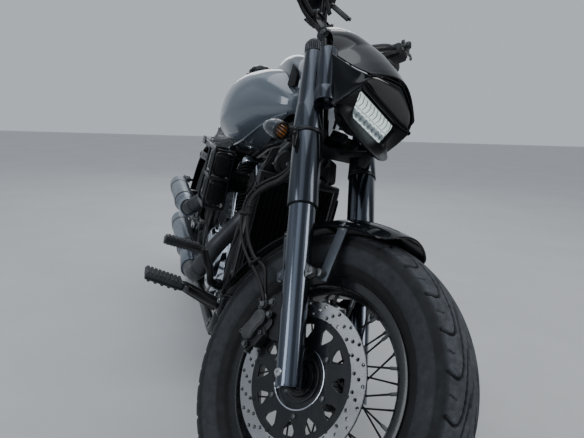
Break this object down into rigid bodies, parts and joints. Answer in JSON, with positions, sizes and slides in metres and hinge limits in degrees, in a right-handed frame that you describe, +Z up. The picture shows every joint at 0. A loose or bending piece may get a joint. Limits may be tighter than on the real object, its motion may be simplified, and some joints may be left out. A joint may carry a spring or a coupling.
{
  "type": "cruiser motorcycle",
  "caption": "Cruiser motorcycle with a twin-cylinder engine, fat spoked front wheel, headlight mask and low seat, parked leaning on its side stand with the steering on its left stop.",
  "frame": {"origin": "on the floor, under the middle of the machine's whole box as it stands parked", "axes": "+Y towards the tail, +X towards the rider's left, +Z up from the floor"},
  "size_m": [0.87, 2.356, 1.4033],
  "materials": {
    "tyre": "matte",
    "wheel_black": "gloss",
    "spoke_black": "gloss",
    "disc_steel": "brushed",
    "fork_gunmetal": "gloss",
    "frame_black": "gloss",
    "gloss_black": "gloss",
    "bright_steel": "polished",
    "caliper_grey": "satin",
    "hose_rubber": "matte",
    "dark_plastic": "satin",
    "lens_glass": "clear",
    "engine_dark": "satin",
    "polished_metal": "polished",
    "radiator_black": "satin",
    "tank_grey": "gloss",
    "seat_leather": "satin",
    "header_satin": "satin",
    "red_lens": "gloss"
  },
  "bodies": {
    "frame": {"air_cleaner": "dark_plastic", "brake_pedal": "frame_black", "cradle_tubes": "frame_black", "engine_block": "engine_dark", "engine_covers": "polished_metal", "engine_cylinders": "engine_dark", "exhaust_headers": "header_satin", "final_drive": "engine_dark", "foot_pegs": "hose_rubber", "fuel_cap": "dark_plastic", "fuel_tank": "tank_grey", "main_frame": "frame_black", "mufflers": "polished_metal", "pillion_seat": "seat_leather", "plate_bracket": "dark_plastic", "radiator": "radiator_black", "rear_axle": "bright_steel", "rear_caliper": "caliper_grey", "rear_fender": "gloss_black", "rear_indicators": "fork_gunmetal", "rear_shock": "frame_black", "rider_seat": "seat_leather", "shift_lever": "frame_black", "side_covers": "gloss_black", "stand_bracket": "frame_black", "swingarm": "frame_black", "tail_light": "red_lens", "tank_console": "tank_grey"},
    "fork": {"fork_sliders": "fork_gunmetal", "fork_covers": "fork_gunmetal", "fork_yokes": "frame_black", "front_axle": "bright_steel", "front_fender": "gloss_black", "fender_struts": "frame_black", "brake_caliper": "caliper_grey", "brake_hose": "hose_rubber", "headlight_mask": "gloss_black", "headlight_housing": "dark_plastic", "headlight_lens": "lens_glass", "handlebar": "frame_black", "bar_risers": "frame_black", "grips": "hose_rubber", "hand_controls": "dark_plastic", "instrument": "dark_plastic", "front_indicators": "fork_gunmetal"},
    "front_wheel": {"front_tyre": "tyre", "front_rim": "wheel_black", "front_hub": "wheel_black", "front_spokes": "spoke_black", "front_disc": "disc_steel"},
    "rear_wheel": {"rear_tyre": "tyre", "rear_rim": "wheel_black", "rear_hub": "wheel_black", "rear_spokes": "spoke_black", "rear_disc": "disc_steel"},
    "side_stand": {"side_stand": "frame_black"}
  },
  "joints": [
    {"name": "steering", "type": "hinge", "parent": "frame", "child": "fork", "pos_m": [-0.00118, -0.48967, 0.81107], "axis": [0.1815, 0.5402, 0.8217], "range_deg": [-64, 0]},
    {"name": "front_wheel_spin", "type": "hinge", "parent": "fork", "child": "front_wheel", "pos_m": [-0.0846, -0.88075, 0.29557], "axis": [0.7655, 0.4469, -0.4629], "continuous": true},
    {"name": "rear_wheel_spin", "type": "hinge", "parent": "frame", "child": "rear_wheel", "pos_m": [-0.11116, 0.76699, 0.32172], "axis": [0.9763, 0.0012, -0.2164], "continuous": true},
    {"name": "side_stand_fold", "type": "hinge", "parent": "frame", "child": "side_stand", "pos_m": [0.00508, -0.19719, 0.16632], "axis": [0.7316, -0.134, 0.6685], "range_deg": [0, 109]}
  ]
}
